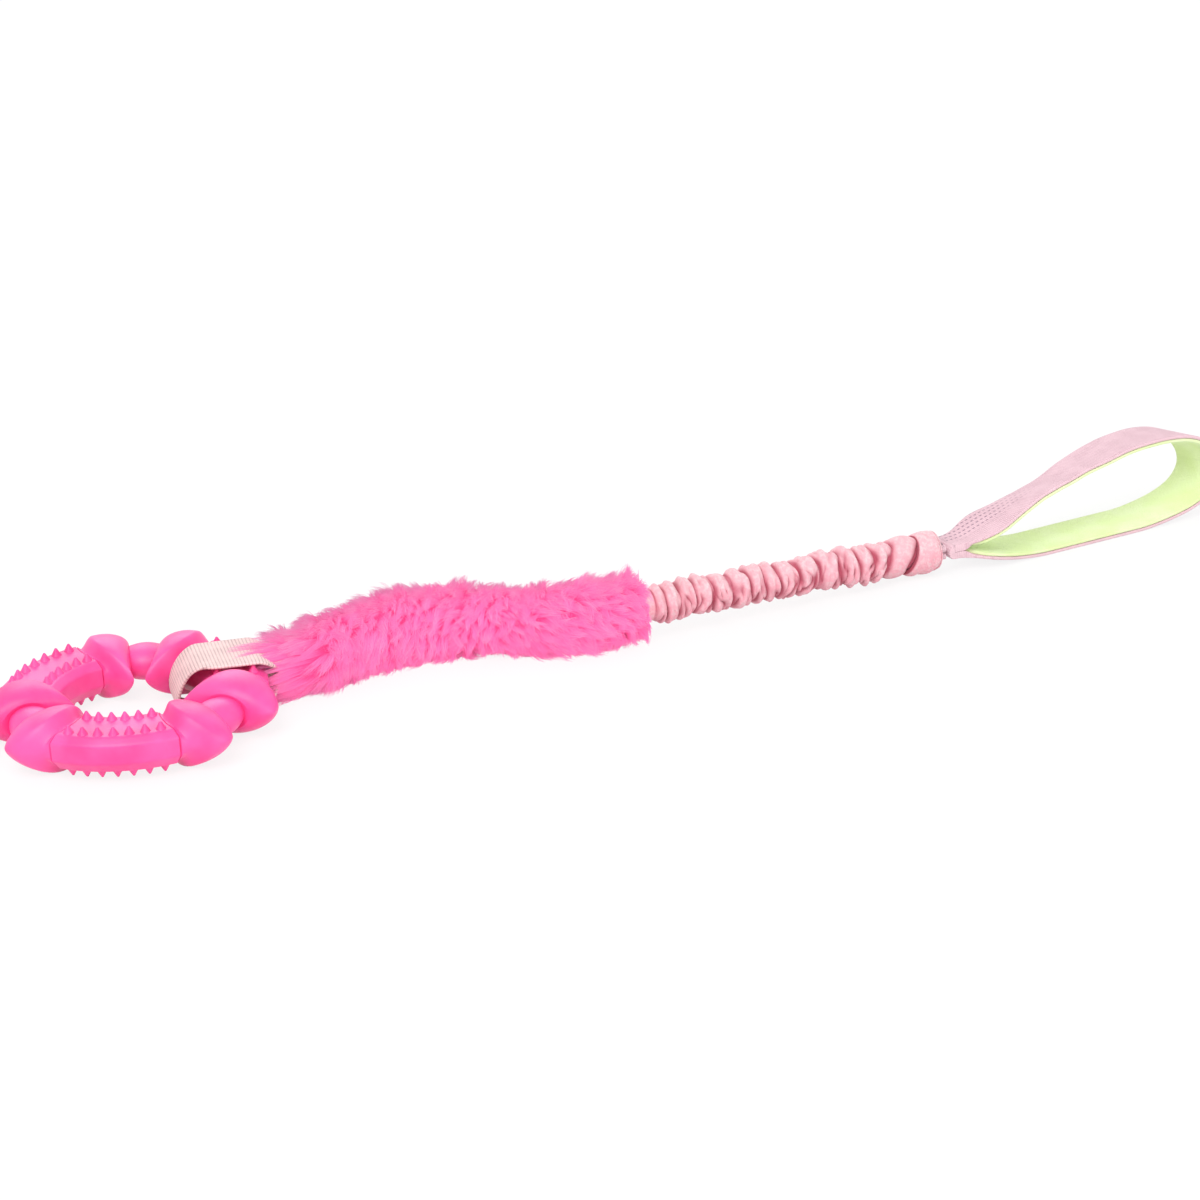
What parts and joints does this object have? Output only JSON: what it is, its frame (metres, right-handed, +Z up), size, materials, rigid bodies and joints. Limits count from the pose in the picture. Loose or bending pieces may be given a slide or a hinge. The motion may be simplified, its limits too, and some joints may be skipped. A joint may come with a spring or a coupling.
{
  "type": "bungee tug toy",
  "caption": "Dog tug toy: a spiked rubber chew ring on a webbing strap, a faux-fur tube, a gathered sleeve over a stretching bungee, and a lined webbing hand loop.",
  "frame": {"origin": "middle of the footprint on the surface that the toy lies on", "axes": "+X from the chew ring to the hand loop, +Y to the left of that, +Z up"},
  "size_m": [0.5526, 0.1184, 0.0401],
  "materials": {
    "ring_rubber": "semi-matte moulded rubber, hot pink",
    "strap_webbing": "pale pink webbing with a fine woven grid",
    "faux_fur": "long pink faux-fur pile",
    "sleeve_fabric": "gathered salmon pink cloth",
    "elastic": "braided shock cord",
    "loop_webbing": "dusty pink flat webbing",
    "loop_lining": "soft yellow-green lining",
    "thread": "dark sewing thread"
  },
  "bodies": {
    "fur_section": {"fur_sleeve": "faux_fur", "strap_tail_upper": "strap_webbing", "strap_tail_lower": "strap_webbing", "strap_bar_tack": "thread", "bungee_bar_tack": "thread"},
    "strap": {"ring_strap": "strap_webbing"},
    "ring": {"chew_ring": "ring_rubber"},
    "bungee_section": {"bungee_sleeve": "sleeve_fabric", "elastic_cord": "elastic"},
    "cuff_section": {"sleeve_cuff": "sleeve_fabric", "neck_webbing": "loop_webbing", "neck_bar_tack": "thread"},
    "hand_loop": {"handle_webbing": "loop_webbing", "handle_lining": "loop_lining"}
  },
  "joints": [
    {"name": "ring_swing", "type": "hinge", "parent": "fur_section", "child": "strap", "pos_m": [-0.15265, -0.00325, 0.0141], "axis": [0.1736, 0.9848, 0], "range_deg": [-40, 40]},
    {"name": "ring_turn", "type": "hinge", "parent": "strap", "child": "ring", "pos_m": [-0.2163, -0.00103, 0.0121], "axis": [0, 0, 1], "range_deg": [-3, 1]},
    {"name": "bungee_bend", "type": "hinge", "parent": "fur_section", "child": "bungee_section", "pos_m": [-0.0008, -0.02593, 0.0143], "axis": [0, 1, 0], "range_deg": [-25, 25]},
    {"name": "bungee_stretch", "type": "slide", "parent": "bungee_section", "child": "cuff_section", "axis": [0.9995, 0, -0.0332], "range_m": [0, 0.11], "stiffness_N_per_m": 350, "deforming": ["bungee_sleeve", "elastic_cord"]},
    {"name": "handle_flex", "type": "hinge", "parent": "cuff_section", "child": "hand_loop", "pos_m": [0.14212, -0.02593, 0.00956], "axis": [-0.0419, 0.9991, 0], "range_deg": [-70, 70]}
  ]
}
